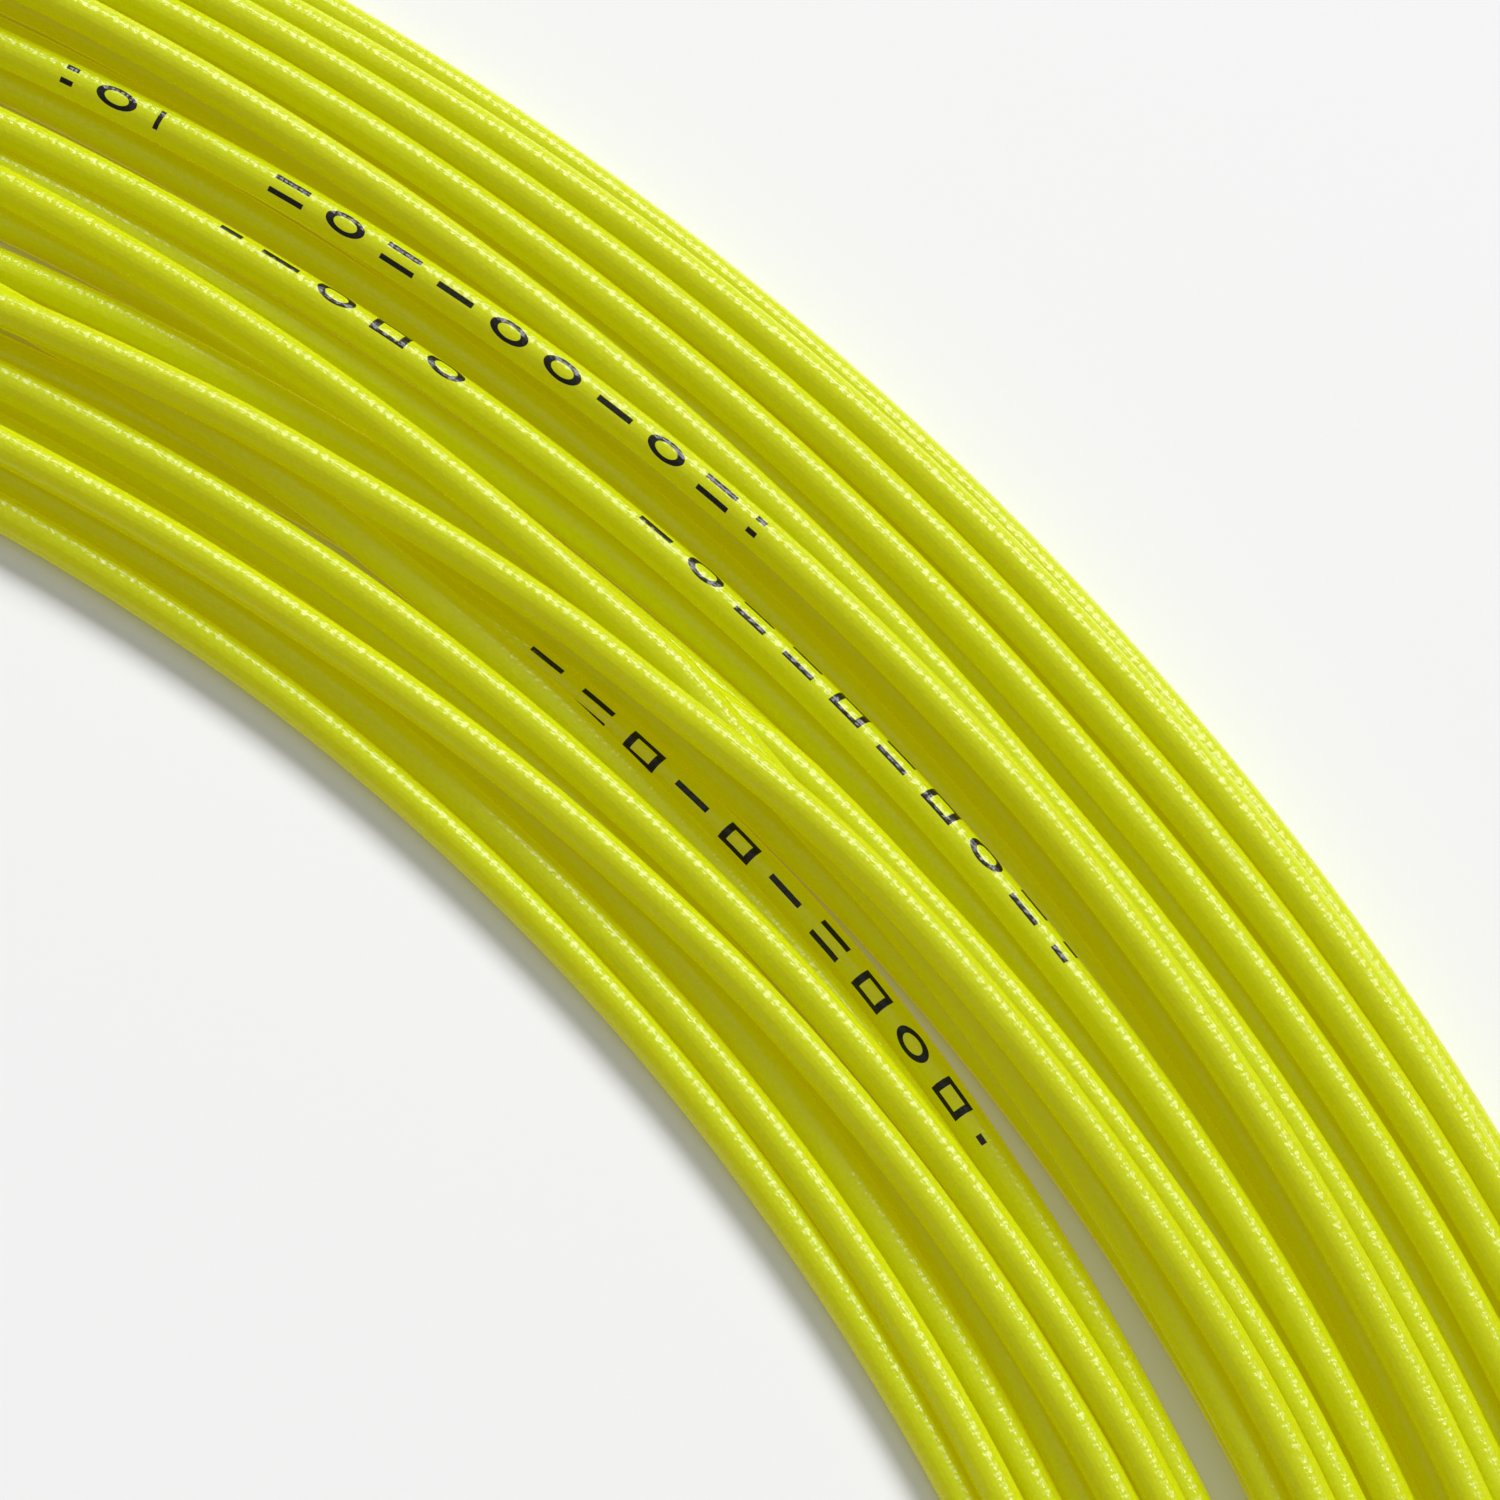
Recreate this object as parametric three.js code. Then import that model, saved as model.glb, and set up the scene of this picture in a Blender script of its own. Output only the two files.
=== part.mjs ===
// A coil of racket string as it comes out of its packet: one length of thin coated string wound into
// a loose flat ring, with no spool or core. The turns lie in two lays with a narrow gap between them.
// The string's own two ends are wound round the bundle on opposite sides, where they draw it together,
// and each ends in a short free tail that lies on the table.
// Millimetres, +Z up. The origin is the centre of the ring, on the face that it rests on.
import * as THREE from "three";

// The string and how it is wound.
const STRING_D = 0.63; // gauge of the string
const RING_INNER_R = 44.8; // inside of the innermost turn, away from the bindings
const RING_OUTER_R = 56.1; // outside of the outermost turn, away from the bindings
const INNER_LAY_WIDTH = 3.9; // radial width of the inner lay
const LAY_GAP = 0.5; // gap between the two lays
const BUNDLE_HEIGHT = 1.85; // about three layers of string

// Where the ends bind the bundle, it is drawn into a small round bunch.
const BINDING_BEARINGS = [132, 312]; // degrees anticlockwise from +X
const BUNCH_WIDTH = 4.7; // radial width of the bunch inside a binding
const BUNCH_HEIGHT = 3.5;
const BUNCH_ARC = 3; // degrees each side of a binding that stay fully drawn in
const SPREAD_ARC = 46; // degrees each side of a binding over which the turns fan out again
const WRAP_COUNT = 3; // turns of the end round the bundle
const WRAP_PITCH = 0.68; // spacing of those turns along the bundle
const CLEARANCE = 0.3; // gap between touching solids

// Free tail of each end.
const TAIL_SIDES = 8;
const TAIL_STEPS = 18;
const TABLE_CLEARANCE = 0.02; // height of a tail above the table
// Points of the tail's route: how far along it is, and how far it stands off the outermost turn.
const TAIL_ROUTE = [
  [1.2, 0.7],
  [3.4, 1.1],
  [6.6, 1.1],
  [10.5, 1.1],
  [15.5, 1.2],
  [20.5, 1.2],
  [25.5, 1.1],
  [30, 0.9],
];

// Fineness of the ring.
const RING_STEPS = 160;
const CORNER_STEPS = 4;

const ringMidR = (RING_INNER_R + RING_OUTER_R) / 2;
const ringWidth = RING_OUTER_R - RING_INNER_R;
const laySplitR = RING_INNER_R + INNER_LAY_WIDTH + LAY_GAP / 2;
const wrapsLength = (WRAP_COUNT - 1) * WRAP_PITCH + STRING_D;
const bunchLift = STRING_D + CLEARANCE; // the wraps pass under the bunch
const radians = THREE.MathUtils.degToRad;

const stringMaterial = () =>
  new THREE.MeshStandardMaterial({ color: 0xc3ce1e, roughness: 0.35, metalness: 0 });

// How far the bundle is drawn in at a bearing: 1 inside a binding, 0 where the turns lie free.
function drawnIn(bearing) {
  let most = 0;
  for (const binding of BINDING_BEARINGS) {
    const away = Math.abs(THREE.MathUtils.euclideanModulo(bearing - binding + 180, 360) - 180);
    most = Math.max(most, 1 - THREE.MathUtils.smootherstep(away, BUNCH_ARC, SPREAD_ARC));
  }
  return most;
}

// Radius at a bearing of what lies at a given free radius, and the bottom and height of the bundle.
function radiusAt(freeRadius, bearing) {
  const narrowing = THREE.MathUtils.lerp(1, BUNCH_WIDTH / ringWidth, drawnIn(bearing));
  return ringMidR + (freeRadius - ringMidR) * narrowing;
}

const bottomAt = (bearing) => bunchLift * drawnIn(bearing);
const heightAt = (bearing) => THREE.MathUtils.lerp(BUNDLE_HEIGHT, BUNCH_HEIGHT, drawnIn(bearing));

// Unit section of a lay: a square with rounded corners, nearly sharp below and well rounded on top.
function laySection() {
  const foot = 0.12;
  const shoulder = 0.34;
  const corners = [
    { x: 1 - foot, y: foot, r: foot, from: -90 },
    { x: 1 - shoulder, y: 1 - shoulder, r: shoulder, from: 0 },
    { x: shoulder, y: 1 - shoulder, r: shoulder, from: 90 },
    { x: foot, y: foot, r: foot, from: 180 },
  ];
  const points = [];
  for (const corner of corners) {
    for (let step = 0; step <= CORNER_STEPS; step++) {
      const turn = radians(corner.from + (90 * step) / CORNER_STEPS);
      const x = corner.x + corner.r * Math.cos(turn);
      points.push(new THREE.Vector2(x, corner.y + corner.r * Math.sin(turn)));
    }
  }
  points.push(points[0].clone());
  return points;
}

// One lay of turns: a lathed ring of the unit section, carried out to the lay's width and height
// at each bearing. The two radii are where the lay lies free, and the two gaps keep the lays apart.
function layOfTurns(name, innerR, outerR, innerGap, outerGap) {
  const carrier = 10; // radius at which the unit section is lathed
  const section = laySection().map((p) => new THREE.Vector2(carrier + p.x, p.y));
  const geometry = new THREE.LatheGeometry(section, RING_STEPS);
  geometry.rotateX(Math.PI / 2);
  const place = geometry.getAttribute("position");
  for (let i = 0; i < place.count; i++) {
    const across = Math.hypot(place.getX(i), place.getY(i)) - carrier;
    const angle = Math.atan2(place.getY(i), place.getX(i));
    const bearing = THREE.MathUtils.radToDeg(angle);
    const nearR = radiusAt(innerR, bearing) + innerGap;
    const farR = radiusAt(outerR, bearing) - outerGap;
    const r = THREE.MathUtils.lerp(nearR, farR, across);
    const z = bottomAt(bearing) + place.getZ(i) * heightAt(bearing);
    place.setXYZ(i, r * Math.cos(angle), r * Math.sin(angle), z);
  }
  geometry.deleteAttribute("uv");
  geometry.computeVertexNormals();
  const lay = new THREE.Mesh(geometry, stringMaterial());
  lay.name = name;
  return lay;
}

// Outline of a rounded rectangle that stands on y = bottom, centred on x = 0.
function roundedBox(Path, width, bottom, height, radius) {
  const half = width / 2;
  const top = bottom + height;
  const path = new Path();
  path.moveTo(-half + radius, bottom);
  path.lineTo(half - radius, bottom);
  path.absarc(half - radius, bottom + radius, radius, -Math.PI / 2, 0, false);
  path.absarc(half - radius, top - radius, radius, 0, Math.PI / 2, false);
  path.absarc(-half + radius, top - radius, radius, Math.PI / 2, Math.PI, false);
  path.absarc(-half + radius, bottom + radius, radius, Math.PI, 1.5 * Math.PI, false);
  return path;
}

// The wraps of one end: a sleeve of their outer shape, one string thick, open where the bunch passes.
function bindingWraps(name) {
  const holeWidth = BUNCH_WIDTH + 2 * CLEARANCE;
  const holeHeight = BUNCH_HEIGHT + 2 * CLEARANCE;
  const holeCorner = 0.8;
  const outline = roundedBox(
    THREE.Shape,
    holeWidth + 2 * STRING_D,
    0,
    holeHeight + 2 * STRING_D,
    holeCorner + STRING_D,
  );
  outline.holes.push(roundedBox(THREE.Path, holeWidth, STRING_D, holeHeight, holeCorner));
  const geometry = new THREE.ExtrudeGeometry(outline, {
    depth: wrapsLength,
    bevelEnabled: false,
    curveSegments: 5,
  });
  geometry.translate(0, 0, -wrapsLength / 2);
  geometry.rotateX(Math.PI / 2);
  const wraps = new THREE.Mesh(geometry, stringMaterial());
  wraps.name = name;
  wraps.position.x = ringMidR;
  return wraps;
}

// The free tail of one end, in its binding's own frame: it leaves the wraps at the foot of their
// outer side, stays on the table and runs round outside the turns as they fan out.
function freeTail(name, binding) {
  const leaveAt = wrapsLength / 2 + CLEARANCE;
  const z = STRING_D / 2 + TABLE_CLEARANCE;
  const route = [
    new THREE.Vector3(ringMidR + BUNCH_WIDTH / 2 + CLEARANCE + STRING_D / 2, leaveAt, z),
  ];
  for (const [along, standOff] of TAIL_ROUTE) {
    const arc = (leaveAt + along) / ringMidR;
    const bearing = binding + THREE.MathUtils.radToDeg(arc);
    const r = radiusAt(RING_OUTER_R, bearing) + standOff + STRING_D / 2;
    route.push(new THREE.Vector3(r * Math.cos(arc), r * Math.sin(arc), z));
  }
  const line = new THREE.CatmullRomCurve3(route);
  const section = new THREE.Shape();
  for (let side = 0; side < TAIL_SIDES; side++) {
    const turn = (2 * Math.PI * (side + 0.5)) / TAIL_SIDES;
    const x = (STRING_D / 2) * Math.cos(turn);
    const y = (STRING_D / 2) * Math.sin(turn);
    if (side === 0) section.moveTo(x, y);
    else section.lineTo(x, y);
  }
  section.closePath();
  const geometry = new THREE.ExtrudeGeometry(section, {
    steps: TAIL_STEPS,
    extrudePath: line,
  });
  const tail = new THREE.Mesh(geometry, stringMaterial());
  tail.name = name;
  return tail;
}

const coil = new THREE.Group();
coil.add(layOfTurns("inner_turns", RING_INNER_R, laySplitR, 0, LAY_GAP / 2));
coil.add(layOfTurns("outer_turns", laySplitR, RING_OUTER_R, LAY_GAP / 2, 0));

["start_end", "finish_end"].forEach((end, i) => {
  const binding = new THREE.Group();
  binding.add(bindingWraps(`${end}_wraps`));
  binding.add(freeTail(`${end}_tail`, BINDING_BEARINGS[i]));
  binding.rotation.z = radians(BINDING_BEARINGS[i]);
  coil.add(binding);
});

export default coil;
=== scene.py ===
from math import cos, pi, radians, sin

import bpy
import numpy as np
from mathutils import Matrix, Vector


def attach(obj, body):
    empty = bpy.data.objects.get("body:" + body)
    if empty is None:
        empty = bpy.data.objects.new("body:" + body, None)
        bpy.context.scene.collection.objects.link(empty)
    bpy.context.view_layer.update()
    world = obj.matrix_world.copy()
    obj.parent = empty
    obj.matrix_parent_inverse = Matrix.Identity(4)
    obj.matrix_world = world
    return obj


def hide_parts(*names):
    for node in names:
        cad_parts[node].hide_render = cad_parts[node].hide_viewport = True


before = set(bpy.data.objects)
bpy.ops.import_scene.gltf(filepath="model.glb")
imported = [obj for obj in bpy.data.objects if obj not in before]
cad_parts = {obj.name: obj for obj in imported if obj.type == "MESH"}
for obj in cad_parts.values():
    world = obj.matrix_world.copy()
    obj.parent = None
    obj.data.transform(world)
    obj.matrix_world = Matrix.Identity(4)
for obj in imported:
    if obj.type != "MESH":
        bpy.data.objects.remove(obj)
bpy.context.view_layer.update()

MM = 0.001

# ------------------------------------------------------------------------------------------------
# Camera
# A long lens close over one quarter of the ring, looking well down on it, so that the bundle of
# turns crosses the whole picture from the upper left to the lower right.
aim = Vector((37.1, 33.6, 0.9)) * MM
camera_height_angle = radians(65)
camera_distance = 0.22
seen_width = 0.02492
camera_data = bpy.data.cameras.new("bench_camera")
camera_data.sensor_width = 36
camera_data.lens = 36 * camera_distance / seen_width
camera_data.clip_start = 0.01
camera_data.clip_end = 20
camera = bpy.data.objects.new("bench_camera", camera_data)
bpy.context.scene.collection.objects.link(camera)
back = Vector((0, -cos(camera_height_angle), sin(camera_height_angle)))
camera.location = aim + back * camera_distance
camera.rotation_mode = "QUATERNION"
camera.rotation_quaternion = (-back).to_track_quat("-Z", "Y")
bpy.context.scene.camera = camera

# ------------------------------------------------------------------------------------------------
# Free tails
# The last thirty-four millimetres of each end of the string: a filament core under a fine braided
# sleeve, dip-coated yellow-green. Each leaves its wraps from under the bundle, lies on the table
# and runs round just outside the turns. The end is a plain straight cut.

# Driving sizes, in millimetres and degrees, the same as those of the solids.
STRING_D = 0.63
RING_INNER_R = 44.8
RING_OUTER_R = 56.1
RING_MID_R = (RING_INNER_R + RING_OUTER_R) / 2
BUNCH_WIDTH = 4.7
BUNCH_HEIGHT = 3.5
BUNCH_ARC = 3
SPREAD_ARC = 46
START_BEARING = 132
FINISH_BEARING = 312
WRAP_PITCH = 0.68
WRAPS = 3
# Each tail's way: how far along from its wraps, and how far it stands off the turns.
TAIL_ROUTE = [
    (1.2, 0.7),
    (3.4, 1.1),
    (6.6, 1.1),
    (10.5, 1.1),
    (15.5, 1.2),
    (20.5, 1.2),
    (25.5, 1.1),
    (30, 0.9),
]


def ease(t):
    """A smooth step from 0 to 1."""
    t = np.clip(t, 0, 1)
    return t * t * t * (t * (6 * t - 15) + 10)


def drawn_in(bearing):
    """1 where the turns are bunched at a binding, 0 where they lie spread out."""
    away = np.abs((np.asarray(bearing) - START_BEARING + 90) % 180 - 90)
    return 1 - ease((away - BUNCH_ARC) / (SPREAD_ARC - BUNCH_ARC))


def through(points, per_span=8):
    """A smooth line through given points."""
    p = np.array(points, float)
    p = np.vstack([2 * p[0] - p[1], p, 2 * p[-1] - p[-2]])
    line = []
    for a, b, c, d in zip(p[:-3], p[1:-2], p[2:-1], p[3:]):
        for t in np.arange(per_span) / per_span:
            bend = 2 * a - 5 * b + 4 * c - d
            line.append(b + 0.5 * t * (c - a + t * (bend + t * (3 * (b - c) + d - a))))
    line.append(p[-2])
    return np.array(line)


def link(node_tree, *ends):
    """Links sockets in pairs: from, to, from, to."""
    for a, b in zip(ends[::2], ends[1::2]):
        node_tree.links.new(a, b)


def string_layer():
    """Node group for the coated braid: colour, ink mask, roughness and height, from the string's
    own length (metres along it) and the direction round it."""
    g = bpy.data.node_groups.new("coated_braid", "ShaderNodeTree")
    face = g.interface
    for name, kind in (
        ("Bare Colour", "NodeSocketColor"),
        ("Deep Colour", "NodeSocketColor"),
        ("Ink Colour", "NodeSocketColor"),
        ("Yarn Pitch", "NodeSocketFloat"),
        ("Mark Pitch", "NodeSocketFloat"),
    ):
        face.new_socket(name, in_out="INPUT", socket_type=kind)
    for name, kind in (
        ("Colour", "NodeSocketColor"),
        ("Roughness", "NodeSocketFloat"),
        ("Height", "NodeSocketFloat"),
        ("Ink", "NodeSocketFloat"),
    ):
        face.new_socket(name, in_out="OUTPUT", socket_type=kind)
    n = g.nodes
    given = n.new("NodeGroupInput")
    made = n.new("NodeGroupOutput")

    def value(operation, a, b=None, c=None):
        m = n.new("ShaderNodeMath")
        m.operation = operation
        for socket, x in zip(m.inputs, (a, b, c)):
            if x is None:
                continue
            if isinstance(x, (int, float)):
                socket.default_value = x
            else:
                g.links.new(x, socket)
        return m.outputs[0]

    def piece(name):
        a = n.new("ShaderNodeAttribute")
        a.attribute_name = name
        return a

    along = piece("along").outputs["Fac"]
    round_it = n.new("ShaderNodeSeparateXYZ")
    link(g, piece("round").outputs["Vector"], round_it.inputs[0])
    angle = value("ARCTAN2", round_it.outputs[1], round_it.outputs[0])

    # Two families of yarns wind round the core in opposite directions, over and under each other.
    yarn = value("DIVIDE", along, given.outputs["Yarn Pitch"])
    lean = value("MULTIPLY", yarn, 2 * pi)
    turn = value("MULTIPLY", angle, 12)
    left = value("SINE", value("ADD", lean, turn))
    right = value("SINE", value("SUBTRACT", lean, turn))
    weave = value("MULTIPLY", left, right)
    ridge = value("MAXIMUM", left, right)
    cloth = value("ADD", value("MULTIPLY", weave, 0.6), value("MULTIPLY", ridge, 0.4))

    # The dipped coating fills the weave unevenly and carries fine specks.
    where = n.new("ShaderNodeTexCoord")
    film = n.new("ShaderNodeTexNoise")
    film.inputs["Scale"].default_value = 4200
    film.inputs["Detail"].default_value = 2
    link(g, where.outputs["Object"], film.inputs["Vector"])
    speck = n.new("ShaderNodeTexNoise")
    speck.inputs["Scale"].default_value = 16000
    speck.inputs["Detail"].default_value = 2
    link(g, where.outputs["Object"], speck.inputs["Vector"])
    height = value(
        "ADD",
        value("MULTIPLY", cloth, 0.22),
        value(
            "ADD",
            value("MULTIPLY", film.outputs["Fac"], 1.0),
            value("MULTIPLY", speck.outputs["Fac"], 0.35),
        ),
    )
    rough = value("MULTIPLY_ADD", speck.outputs["Fac"], 0.2, 0.14)

    # Ink marks: plain rings, boxes, single and double dashes in a row along one side of the string.
    mark = value("DIVIDE", along, given.outputs["Mark Pitch"])
    cell = value("FLOOR", mark)
    across = value("SUBTRACT", value("FRACT", mark), 0.5)
    side = piece("mark_side").outputs["Fac"]
    off_side = value("SUBTRACT", angle, side)
    off_side = value("WRAP", off_side, pi, -pi)
    up = value("DIVIDE", off_side, 0.6)
    pick = n.new("ShaderNodeTexWhiteNoise")
    pick.noise_dimensions = "1D"
    link(g, cell, pick.inputs["W"])
    kind = pick.outputs["Value"]
    x = value("ABSOLUTE", across)
    y = value("ABSOLUTE", up)
    reach = value(
        "SQRT",
        value("ADD", value("POWER", value("MULTIPLY", across, 3), 2), value("POWER", up, 2)),
    )
    ring = value("LESS_THAN", value("ABSOLUTE", value("SUBTRACT", reach, 0.8)), 0.2)
    square = value("MAXIMUM", value("MULTIPLY", x, 3.2), y)
    box = value("LESS_THAN", value("ABSOLUTE", value("SUBTRACT", square, 0.8)), 0.2)
    dash = value("MULTIPLY", value("LESS_THAN", x, 0.32), value("LESS_THAN", y, 0.28))
    lines = value(
        "MULTIPLY",
        value("LESS_THAN", x, 0.3),
        value("LESS_THAN", value("ABSOLUTE", value("SUBTRACT", y, 0.72)), 0.26),
    )
    first = value("MULTIPLY", value("LESS_THAN", kind, 0.25), ring)
    second = value("MULTIPLY", value("COMPARE", kind, 0.375, 0.125), lines)
    third = value("MULTIPLY", value("COMPARE", kind, 0.625, 0.125), box)
    fourth = value("MULTIPLY", value("GREATER_THAN", kind, 0.75), dash)
    inked = value("MAXIMUM", value("MAXIMUM", first, second), value("MAXIMUM", third, fourth))
    inked = value("MULTIPLY", inked, value("GREATER_THAN", piece("marked").outputs["Fac"], 0.5))

    tint = n.new("ShaderNodeMix")
    tint.data_type = "RGBA"
    drift = n.new("ShaderNodeTexNoise")
    drift.inputs["Scale"].default_value = 420
    drift.inputs["Detail"].default_value = 3
    link(g, where.outputs["Object"], drift.inputs["Vector"])
    low = value("MULTIPLY_ADD", cloth, -0.12, 0.05)
    shade = value("ADD", low, value("MULTIPLY_ADD", drift.outputs["Fac"], 0.4, -0.1))
    shade = value("MINIMUM", value("MAXIMUM", shade, 0), 1)
    link(
        g,
        shade, tint.inputs["Factor"],
        given.outputs["Bare Colour"], tint.inputs["A"],
        given.outputs["Deep Colour"], tint.inputs["B"],
    )
    ink = n.new("ShaderNodeMix")
    ink.data_type = "RGBA"
    link(
        g,
        inked, ink.inputs["Factor"],
        tint.outputs["Result"], ink.inputs["A"],
        given.outputs["Ink Colour"], ink.inputs["B"],
        ink.outputs["Result"], made.inputs["Colour"],
        rough, made.inputs["Roughness"],
        height, made.inputs["Height"],
        inked, made.inputs["Ink"],
    )
    return g


coated_string = bpy.data.materials.new("coated_string")
coated_string.use_nodes = True
nodes = coated_string.node_tree.nodes
surface = nodes["Principled BSDF"]
layer = nodes.new("ShaderNodeGroup")
layer.node_tree = string_layer()
layer.inputs["Bare Colour"].default_value = (0.4, 0.525, 0.004, 1)
layer.inputs["Deep Colour"].default_value = (0.365, 0.45, 0.002, 1)
layer.inputs["Ink Colour"].default_value = (0.012, 0.012, 0.008, 1)
layer.inputs["Yarn Pitch"].default_value = 0.2 * MM
layer.inputs["Mark Pitch"].default_value = 1.16 * MM
bump = nodes.new("ShaderNodeBump")
bump.inputs["Strength"].default_value = 1
bump.inputs["Distance"].default_value = 0.016 * MM
link(
    coated_string.node_tree,
    layer.outputs["Colour"], surface.inputs["Base Color"],
    layer.outputs["Roughness"], surface.inputs["Roughness"],
    layer.outputs["Height"], bump.inputs["Height"],
    bump.outputs["Normal"], surface.inputs["Normal"],
)
surface.inputs["Specular IOR Level"].default_value = 0.27
surface.inputs["Subsurface Weight"].default_value = 1
surface.inputs["Subsurface Radius"].default_value = (1, 0.62, 0.06)
surface.inputs["Subsurface Scale"].default_value = 0.9 * MM
# Painted fill light: an even glow in the string's own colour lifts its shaded sides; ink has none.
painted_fill_glow = nodes.new("ShaderNodeMix")
painted_fill_glow.data_type = "RGBA"
painted_fill_glow.inputs["A"].default_value = (1, 0.75, 0, 1)
painted_fill_glow.inputs["B"].default_value = (0, 0, 0, 1)
link(
    coated_string.node_tree,
    layer.outputs["Ink"], painted_fill_glow.inputs["Factor"],
    painted_fill_glow.outputs["Result"], surface.inputs["Emission Color"],
)
# Strength of the painted fill glow.
surface.inputs["Emission Strength"].default_value = 0.18


def string_tree(name, upright):
    """Geometry Nodes tree that lays a round string along a drawn line, capped at both ends, and
    leaves the length along it and the direction round it on the surface."""
    tree = bpy.data.node_groups.new(name, "GeometryNodeTree")
    face = tree.interface
    face.new_socket("Geometry", in_out="INPUT", socket_type="NodeSocketGeometry")
    face.new_socket("String Diameter", in_out="INPUT", socket_type="NodeSocketFloat")
    face.new_socket("Sides", in_out="INPUT", socket_type="NodeSocketInt")
    face.new_socket("Steps Per Point", in_out="INPUT", socket_type="NodeSocketInt")
    face.new_socket("Finish", in_out="INPUT", socket_type="NodeSocketMaterial")
    face.new_socket("Geometry", in_out="OUTPUT", socket_type="NodeSocketGeometry")

    def node(kind, **settings):
        x = tree.nodes.new(kind)
        for key, setting in settings.items():
            setattr(x, key, setting)
        return x

    given = node("NodeGroupInput")
    made = node("NodeGroupOutput")
    line = node("GeometryNodeMeshToCurve")
    smooth = node("GeometryNodeCurveSplineType", spline_type="CATMULL_ROM")
    steps = node("GeometryNodeSetSplineResolution")
    straight = node("GeometryNodeSetCurveNormal")
    straight.mode = "Z_UP" if upright else "MINIMUM_TWIST"
    place = node("GeometryNodeSplineParameter")
    keep_along = node("GeometryNodeCaptureAttribute")
    keep_along.capture_items.new("FLOAT", "along")
    ring = node("GeometryNodeCurvePrimitiveCircle", mode="RADIUS")
    half = node("ShaderNodeMath", operation="MULTIPLY")
    half.inputs[1].default_value = 0.5
    where = node("GeometryNodeInputPosition")
    outward = node("ShaderNodeVectorMath", operation="NORMALIZE")
    keep_round = node("GeometryNodeCaptureAttribute")
    keep_round.capture_items.new("VECTOR", "round")
    sweep = node("GeometryNodeCurveToMesh")
    sweep.inputs["Fill Caps"].default_value = True
    store_along = node("GeometryNodeStoreNamedAttribute", data_type="FLOAT", domain="POINT")
    store_along.inputs["Name"].default_value = "along"
    store_round = node(
        "GeometryNodeStoreNamedAttribute", data_type="FLOAT_VECTOR", domain="POINT"
    )
    store_round.inputs["Name"].default_value = "round"
    shade = node("GeometryNodeSetShadeSmooth")
    real = node("GeometryNodeRealizeInstances")
    finish = node("GeometryNodeSetMaterial")
    link(
        tree,
        given.outputs["Geometry"], line.inputs["Mesh"],
        line.outputs["Curve"], smooth.inputs["Curve"],
        smooth.outputs["Curve"], steps.inputs[0],
        given.outputs["Steps Per Point"], steps.inputs["Resolution"],
        steps.outputs[0], straight.inputs["Curve"],
        straight.outputs["Curve"], keep_along.inputs["Geometry"],
        place.outputs["Length"], keep_along.inputs[1],
        keep_along.outputs["Geometry"], sweep.inputs["Curve"],
        given.outputs["String Diameter"], half.inputs[0],
        half.outputs[0], ring.inputs["Radius"],
        given.outputs["Sides"], ring.inputs["Resolution"],
        ring.outputs["Curve"], keep_round.inputs["Geometry"],
        where.outputs[0], outward.inputs[0],
        outward.outputs[0], keep_round.inputs[1],
        keep_round.outputs["Geometry"], sweep.inputs["Profile Curve"],
        sweep.outputs["Mesh"], store_along.inputs["Geometry"],
        keep_along.outputs[1], store_along.inputs["Value"],
        store_along.outputs["Geometry"], store_round.inputs["Geometry"],
        keep_round.outputs[1], store_round.inputs["Value"],
        store_round.outputs["Geometry"], shade.inputs["Geometry"],
        shade.outputs["Geometry"], real.inputs["Geometry"],
        real.outputs["Geometry"], finish.inputs["Geometry"],
        given.outputs["Finish"], finish.inputs["Material"],
        finish.outputs["Geometry"], made.inputs["Geometry"],
    )
    return tree


level_string = string_tree("string_on_the_level", True)
wrapped_string = string_tree("string_wrapped_round", False)


def lay_string(name, route, tree=level_string, steps=1, sides=16, side=None, marked=None):
    """A length of string along a route in millimetres, as a plain mesh at the origin."""
    drawn = bpy.data.meshes.new(name + "_route")
    count = len(route)
    drawn.from_pydata([Vector(p) * MM for p in route], [(i, i + 1) for i in range(count - 1)], [])
    for label, given in (("mark_side", side), ("marked", marked)):
        a = drawn.attributes.new(label, "FLOAT", "POINT")
        if given is not None:
            a.data.foreach_set("value", np.asarray(given, dtype=np.float32))
    laid = bpy.data.objects.new(name, drawn)
    bpy.context.scene.collection.objects.link(laid)
    sweep = laid.modifiers.new("string", "NODES")
    sweep.node_group = tree
    settings = {
        "String Diameter": STRING_D * MM,
        "Sides": sides,
        "Steps Per Point": steps,
        "Finish": coated_string,
    }
    for item in tree.interface.items_tree:
        if item.in_out == "INPUT" and item.name in settings:
            sweep[item.identifier] = settings[item.name]
    depsgraph = bpy.context.evaluated_depsgraph_get()
    plain = bpy.data.meshes.new_from_object(laid.evaluated_get(depsgraph))
    laid.modifiers.clear()
    laid.data = plain
    plain.name = name
    bpy.data.meshes.remove(drawn)
    return laid


def at_bearing(points, bearing):
    """Turns points from a binding's own frame, where X points out, to where the binding is."""
    a = radians(bearing)
    p = np.asarray(points, float)
    return np.c_[
        p[:, 0] * cos(a) - p[:, 1] * sin(a), p[:, 0] * sin(a) + p[:, 1] * cos(a), p[:, 2]
    ]


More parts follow.
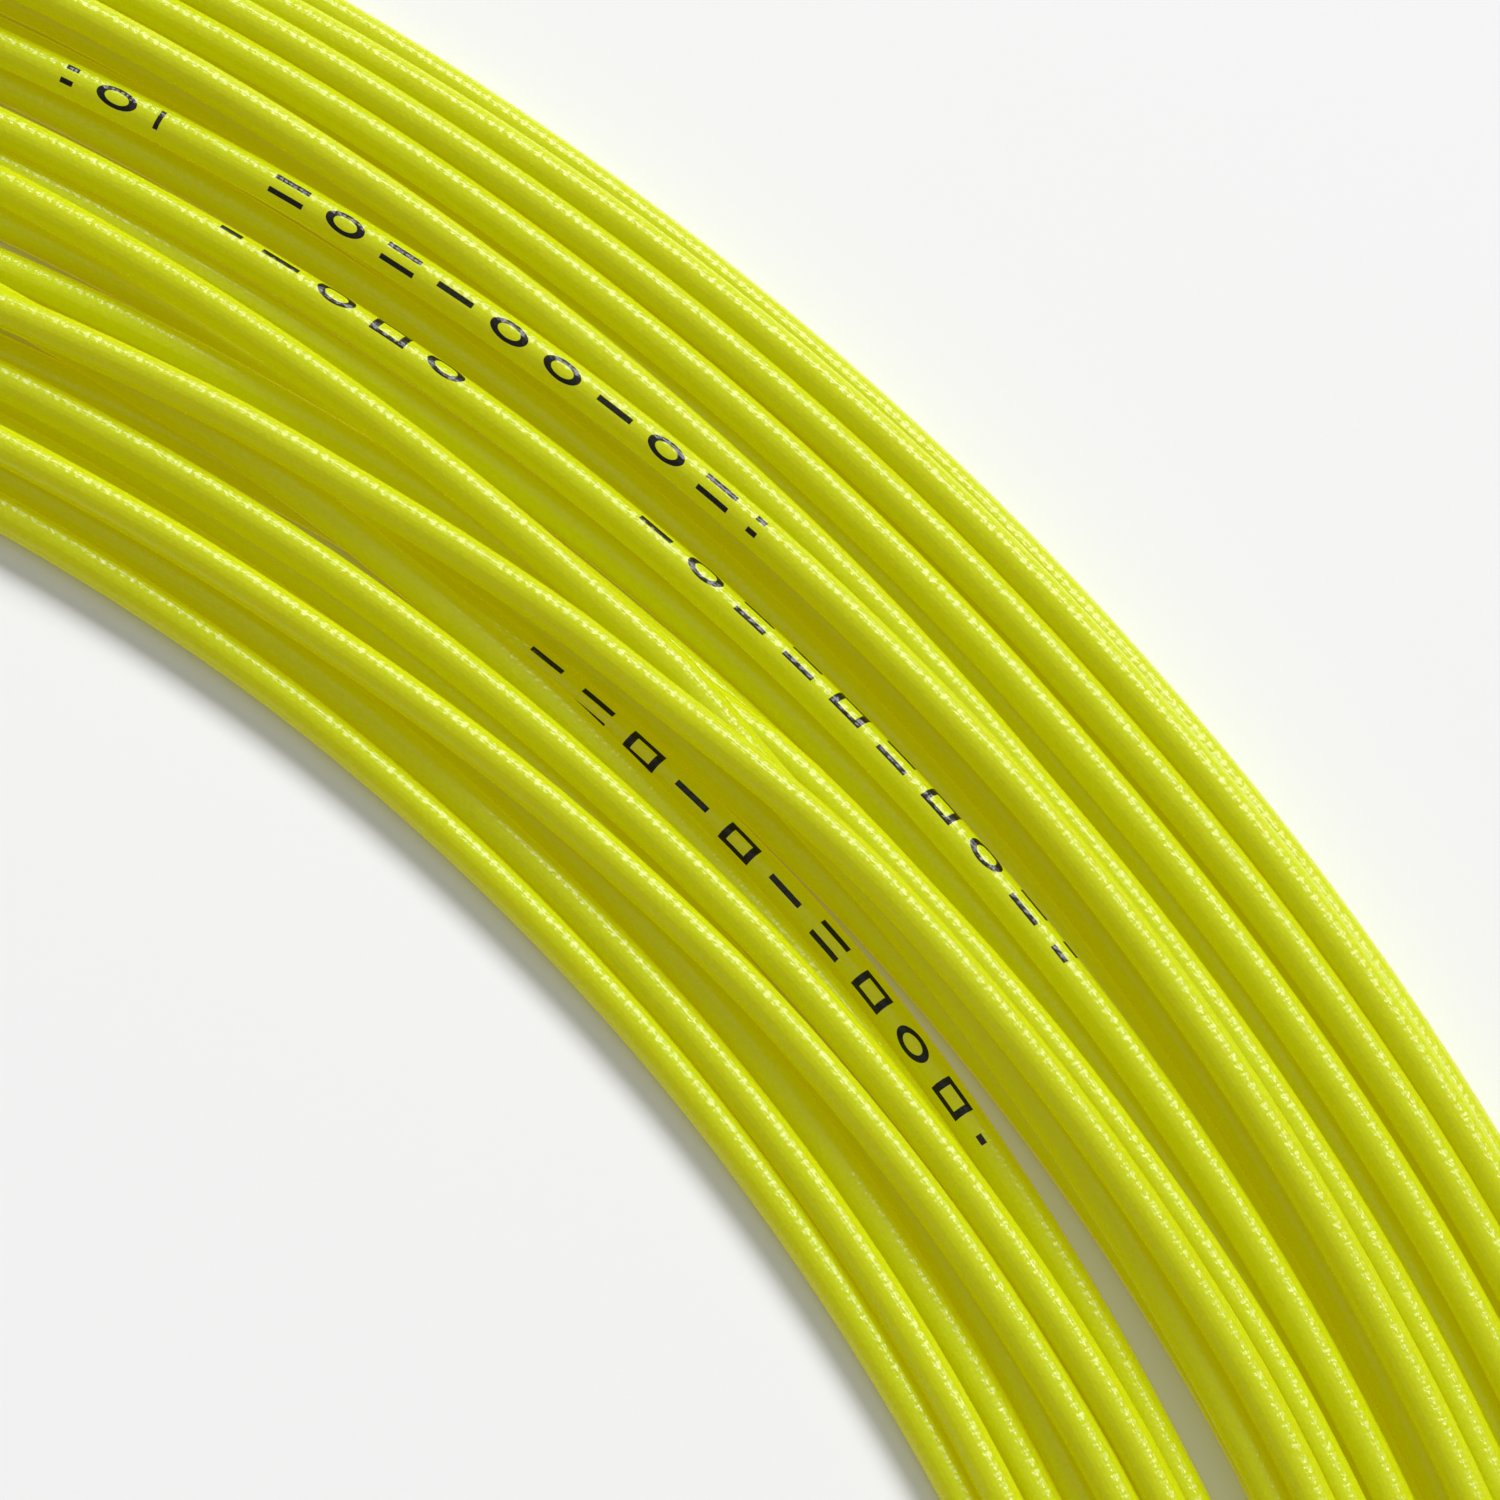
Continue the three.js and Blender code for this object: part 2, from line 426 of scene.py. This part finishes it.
wraps_half = WRAPS / 2 * WRAP_PITCH
tail_z = STRING_D / 2
tail_start = (RING_MID_R + 1.9, wraps_half, tail_z)
for end, bearing in (("start_end", START_BEARING), ("finish_end", FINISH_BEARING)):
    leave_at = WRAP_PITCH + STRING_D / 2 + 0.3
    points = [tail_start, (RING_MID_R + 2.6, wraps_half + 0.06, tail_z)]
    for along, stand_off in TAIL_ROUTE:
        arc = (leave_at + along) / RING_MID_R
        narrow = 1 + (BUNCH_WIDTH / (RING_OUTER_R - RING_INNER_R) - 1) * drawn_in(
            bearing + arc * 180 / pi
        )
        r = RING_MID_R + (RING_OUTER_R - RING_MID_R) * narrow + stand_off + STRING_D / 2
        points.append((r * cos(arc), r * sin(arc), tail_z))
    route = at_bearing(through(points, 4), bearing)
    tail = lay_string(end + "_free_tail", route, sides=24)
    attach(tail, "root")
    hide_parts(end + "_tail")

# ------------------------------------------------------------------------------------------------
# Wound turns
# The same coated string, wound twenty-seven times round a former and slipped off it: nearly nine
# metres. The turns lie two or three deep and cross each other at small angles, in two lays with a
# narrow gap, and are drawn into a round bunch where each end binds them.

# Each turn at bearings of 62, 50, 38 and 26 degrees: how far outside the ring's middle line its
# centre lies and how high above the table, in millimetres. Listed from inside to outside.
TURNS = [
    ((-4.95, 0.32), (-4.88, 0.32), (-4.87, 0.32), (-4.96, 0.32)),
    ((-4.45, 0.32), (-4.22, 0.32), (-4.36, 0.35), (-4.65, 0.6)),
    ((-3.88, 0.32), (-3.64, 0.32), (-3.6, 0.32), (-3.9, 0.32)),
    ((-4.36, 0.9), (-3.87, 0.9), (-3.17, 0.88), (-2.86, 0.85)),
    ((-3.22, 0.32), (-2.96, 0.32), (-3.05, 0.32), (-3.3, 0.32)),
    ((-3.3, 0.95), (-2.82, 0.9), (-2.48, 0.9), (-2.21, 0.9)),
    ((-1.9, 0.9), (-2.03, 0.75), (-2.06, 0.35), (-2.25, 0.32)),
    ((-2.8, 0.32), (-1.75, 0.32), (-1.5, 0.32), (-1.82, 0.32)),
    ((-1.85, 0.32), (-1.32, 0.8), (-0.74, 0.32), (-0.52, 0.32)),
    ((-2.5, 1.5), (-1.45, 1.4), (-0.52, 1.78), (-0.08, 1.4)),
    ((-0.37, 0.32), (-0.07, 0.32), (0.08, 0.32), (0.14, 0.32)),
    ((0.03, 0.88), (-0.42, 1.52), (-0.59, 1.18), (-0.6, 0.95)),
    ((-1.28, 0.32), (-0.68, 0.88), (0.02, 0.9), (0.48, 0.9)),
    ((0.54, 0.32), (0.6, 0.32), (0.8, 0.32), (0.8, 0.32)),
    ((1.08, 0.6), (1.1, 0.82), (1.16, 0.85), (1.2, 0.88)),
    ((1.97, 0.32), (1.84, 0.32), (1.72, 0.32), (1.45, 0.32)),
    ((2.76, 0.32), (2.5, 0.32), (2.38, 0.32), (2.1, 0.32)),
    ((2.27, 0.95), (2.31, 1.3), (2.38, 1.45), (2.27, 1.3)),
    ((3.3, 0.85), (3.0, 0.55), (2.8, 0.33), (2.7, 0.33)),
    ((3.28, 1.42), (3.02, 1.15), (2.73, 0.93), (2.82, 0.93)),
    ((3.42, 0.32), (3.58, 0.32), (3.45, 0.32), (3.28, 0.32)),
    ((4.28, 0.95), (3.96, 0.9), (3.71, 0.9), (3.8, 0.9)),
    ((4.22, 0.32), (4.28, 0.32), (4.15, 0.32), (4.1, 0.32)),
    ((4.84, 0.9), (4.66, 0.9), (4.48, 0.9), (4.57, 0.9)),
    ((4.86, 0.32), (4.92, 0.32), (4.8, 0.32), (4.75, 0.32)),
    ((5.38, 0.6), (5.29, 0.8), (5.16, 0.88), (5.2, 0.85)),
    ((6.02, 0.32), (5.77, 0.32), (5.56, 0.32), (5.48, 0.32)),
]
SEEN_BEARINGS = (62, 50, 38, 26)
SEEN_MIDDLE = 44
SEEN_HALF_ARC = 22
SEEN_FADE_ARC = 24
STEPS = 180  # points in one turn
STEP_ARC = 360 / STEPS
HALF_TURN = STEPS // 2
COLUMNS = (2, 4, 4, 4, 4, 4, 3, 2)  # turns in each column of the bunch, from its inner side
COLUMN_PITCH = 0.87 * STRING_D  # the columns nest into each other
INNER_TURNS = 8
MIDDLE_TURNS = 9


def bunch_places(lane, layer):
    """Where each turn lies in the bunch: columns that keep the turns' order from side to side."""
    order = np.lexsort((layer, lane))
    u = np.empty(len(order))
    z = np.empty(len(order))
    first = 0
    for column, held in enumerate(COLUMNS):
        turns = order[first : first + held]
        turns = turns[np.argsort(layer[turns], kind="stable")]
        first += held
        u[turns] = (column - (len(COLUMNS) - 1) / 2) * COLUMN_PITCH
        z[turns] = (np.arange(held) - (held - 1) / 2) * STRING_D
    return u, z + STRING_D + BUNCH_HEIGHT / 2


def as_one(table):
    """The turns joined end to end as one line. The last turn keeps its own end point."""
    return np.r_[table[:, :STEPS].ravel(), table[-1, STEPS]]


def as_turns(line, turns):
    """The one line cut back into turns, each ending where the next begins."""
    table = np.empty((turns, STEPS + 1))
    table[:, :STEPS] = line[:-1].reshape(turns, STEPS)
    table[:-1, STEPS] = table[1:, 0]
    table[-1, STEPS] = line[-1]
    return table


def springy(table, span, amount):
    """The string's stiffness: each point is eased towards the middle of those on both sides."""
    line = as_one(table)
    eased = line.copy()
    eased[span:-span] += amount * ((line[: -2 * span] + line[2 * span :]) / 2 - line[span:-span])
    return as_turns(eased, len(table))


def wind(rounds=260):
    """Lays the turns down together: each keeps near its own lane, sinks under its weight, and is
    pushed off the others and the table until no two strings share the same place."""
    turns = len(TURNS)
    k = np.arange(STEPS + 1)
    bearing = START_BEARING - k * STEP_ARC
    given_at = [-b for b in SEEN_BEARINGS]
    lane = np.array([np.interp(-bearing, given_at, [p[0] for p in t]) for t in TURNS])
    height = np.array([np.interp(-bearing, given_at, [p[1] for p in t]) for t in TURNS])
    pull = ease(drawn_in(bearing) * 1.15)
    seen = 1 - ease((np.abs(bearing - SEEN_MIDDLE) - SEEN_HALF_ARC) / SEEN_FADE_ARC)

    # Over its second half each turn moves across to where the next one starts.
    onward = np.minimum(np.arange(turns) + 1, turns - 1)
    crossing = ease(k / HALF_TURN - 1)
    lane += (lane[onward, :1] - lane) * crossing
    height += (height[onward, :1] - height) * crossing

    # Out of sight the turns wander a little from side to side, as hand-wound string does.
    wander = 0.2
    loose = np.random.default_rng(3)
    travelled = np.arange(turns)[:, None] + k / STEPS
    for waves in (1.37, 2.61, 3.83):
        lane += (1 - seen) * wander * np.sin(2 * pi * (waves * travelled + loose.random()))

    # Each turn passes both bindings, and has its own place in each bunch.
    first_u, first_z = bunch_places(lane[:, 0], height[:, 0])
    second_u, second_z = bunch_places(lane[:, HALF_TURN], height[:, HALF_TURN])
    before, after = k < HALF_TURN / 2, k >= HALF_TURN * 3 / 2
    bunch_u = np.where(before, first_u[:, None], second_u[:, None])
    bunch_z = np.where(before, first_z[:, None], second_z[:, None])
    bunch_u = np.where(after, first_u[onward][:, None], bunch_u)
    bunch_z = np.where(after, first_z[onward][:, None], bunch_z)
    wanted_u = lane + (bunch_u - lane) * pull
    wanted_z = height + (bunch_z - height) * pull

    # The last turn stops at the second binding, so nothing is pushed off the rest of it.
    there = np.ones((turns, STEPS + 1), bool)
    there[-1, HALF_TURN + 1 :] = False
    a, b = np.triu_indices(turns, 1)
    both = there[a] & there[b]

    # A turn is held firmly where its place is given or it is bunched, and hardly where it is free.
    hold = np.minimum(0.02 + 0.3 * seen + 0.25 * pull, 0.4)
    under = STRING_D * ease(pull * 2 - 1)  # the wraps pass under the bunch and lift it

    # Early rounds sort the turns out, and the last ones only press them clear of each other.
    sorting_ends = rounds * 0.3
    pressing_starts = rounds * 0.85
    sink = 0.006
    clear = STRING_D * 1.003
    share = 0.35  # how much of an overlap each of two strings gives way at a time
    u, z = wanted_u.copy(), wanted_z.copy()
    for step in range(rounds):
        late = step > pressing_starts
        u += hold * (wanted_u - u) * (0.5 if late else 1)
        z += (0.25 * pull + 0.1 * seen + 0.03 * (step < sorting_ends)) * (wanted_z - z)
        z -= sink * (1 - pull) * (1 - seen)
        for span, amount in ((1, 0.15), (3, 0.1)):
            amount *= 0.4 if late else 1
            u, z = springy(u, span, amount), springy(z, span, amount)
        for _ in range(6 if late else 3):
            du, dz = u[a] - u[b], z[a] - z[b]
            gap = np.sqrt(du * du + dz * dz) + 1e-6
            push = np.where(both, np.maximum(clear - gap, 0), 0) * share / gap
            move_u, move_z = np.zeros_like(u), np.zeros_like(z)
            np.add.at(move_u, a, du * push)
            np.add.at(move_u, b, -du * push)
            np.add.at(move_z, a, dz * push)
            np.add.at(move_z, b, -dz * push)
            u += move_u
            z = np.maximum(z + move_z, STRING_D / 2 + under)
        u, z = as_turns(as_one(u), turns), as_turns(as_one(z), turns)
    return u, z


wound_u, wound_z = wind()


def turns_route(first, last):
    """Points along the turns from first up to last, in millimetres."""
    u = wound_u[first:last, :STEPS].ravel()
    z = wound_z[first:last, :STEPS].ravel()
    if last < len(TURNS):
        u, z = np.r_[u, wound_u[last, 0]], np.r_[z, wound_z[last, 0]]
    else:
        end = (last - first - 1) * STEPS + HALF_TURN + 1
        u, z = u[:end], z[:end]
    angle = np.radians(START_BEARING - np.arange(len(u)) * STEP_ARC)
    return np.c_[(RING_MID_R + u) * np.cos(angle), (RING_MID_R + u) * np.sin(angle), z]


# Which turns show their ink marks, over what bearings, and on which side of the string.
MARKED = [
    (17, 61.5, 59, -1.4),
    (17, 56.5, 46, -1.4),
    (14, 56.5, 50.5, -2.1),
    (14, 47.5, 36, -2.1),
    (7, 46.5, 34, -1.4),
]

for name, first, last, node in (
    ("inner_lay_turns", 0, INNER_TURNS, "inner_turns"),
    ("middle_lay_turns", INNER_TURNS, INNER_TURNS + MIDDLE_TURNS, "outer_turns"),
    ("outer_lay_turns", INNER_TURNS + MIDDLE_TURNS, len(TURNS), "outer_turns"),
):
    route = turns_route(first, last)
    side = np.zeros(len(route))
    marked = np.zeros(len(route))
    for turn, from_bearing, to_bearing, facing in MARKED:
        if first <= turn < last:
            start = (turn - first) * STEPS
            for k in range(STEPS):
                side[start + k] = facing
                if to_bearing <= START_BEARING - k * STEP_ARC <= from_bearing:
                    marked[start + k] = 1
    laid = lay_string(name, route, steps=2, side=side, marked=marked)
    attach(laid, "root")
    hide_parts(node)

# ------------------------------------------------------------------------------------------------
# Binding wraps
# Each end of the string is tucked into the bunch, passes three times round it and leaves from
# underneath as the free tail. The wraps are the same string, pulled tight side by side.
STEPS_PER_WRAP = 24
for end, bearing in (("start_end", START_BEARING), ("finish_end", FINISH_BEARING)):
    across, tall = (BUNCH_WIDTH + STRING_D) / 2, (BUNCH_HEIGHT + STRING_D) / 2
    middle_z = STRING_D + BUNCH_HEIGHT / 2
    points = []
    for step in range(WRAPS * STEPS_PER_WRAP + 1):
        turn = -pi / 2 + 2 * pi * step / STEPS_PER_WRAP
        y = -wraps_half + WRAP_PITCH * step / STEPS_PER_WRAP
        points.append((RING_MID_R + across * cos(turn), y, middle_z + tall * sin(turn)))
    points.append((RING_MID_R + 1, wraps_half, tail_z))
    points.append(tail_start)
    wraps = lay_string(end + "_binding", at_bearing(points, bearing), wrapped_string, steps=2)
    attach(wraps, "root")
    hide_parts(end + "_wraps")

# ------------------------------------------------------------------------------------------------
# Table and light
# A smooth white sheet under the coil, one large softbox behind and to the right, a wide weak one
# overhead, and an even pale surround that fills the shadows.
sheet_reach = 3
sheet_z = -0.01 * MM
corners = [(-1, -1), (1, -1), (1, 1), (-1, 1)]
sheet_mesh = bpy.data.meshes.new("white_table")
sheet_mesh.from_pydata(
    [(x * sheet_reach, y * sheet_reach, sheet_z) for x, y in corners], [], [(0, 1, 2, 3)]
)
table_top = bpy.data.objects.new("white_table", sheet_mesh)
bpy.context.scene.collection.objects.link(table_top)
white = bpy.data.materials.new("white_table")
white.use_nodes = True
paint = white.node_tree.nodes["Principled BSDF"]
paint.inputs["Base Color"].default_value = (0.93, 0.93, 0.93, 1)
paint.inputs["Roughness"].default_value = 0.7
paint.inputs["Specular IOR Level"].default_value = 0.2
sheet_mesh.materials.append(white)

softbox_data = bpy.data.lights.new("softbox", "AREA")
softbox_data.shape = "RECTANGLE"
softbox_data.size = 0.7
softbox_data.size_y = 0.5
softbox_data.energy = 21
softbox = bpy.data.objects.new("softbox", softbox_data)
bpy.context.scene.collection.objects.link(softbox)
light_from = Vector((0.29, 0.72, 0.63))
softbox_distance = 1.5
softbox.location = light_from * softbox_distance
softbox.rotation_mode = "QUATERNION"
softbox.rotation_quaternion = (-light_from).to_track_quat("-Z", "Y")

ceiling_data = bpy.data.lights.new("ceiling_light", "AREA")
ceiling_data.shape = "SQUARE"
ceiling_data.size = 1.2
ceiling_data.energy = 2.6
ceiling = bpy.data.objects.new("ceiling_light", ceiling_data)
bpy.context.scene.collection.objects.link(ceiling)
ceiling.location = (0, 0, 1.6)

room = bpy.data.worlds.new("studio")
room.use_nodes = True
room.node_tree.nodes["Background"].inputs["Color"].default_value = (1, 1, 1, 1)
room.node_tree.nodes["Background"].inputs["Strength"].default_value = 0.27
bpy.context.scene.world = room
bpy.context.scene.view_settings.view_transform = "Standard"
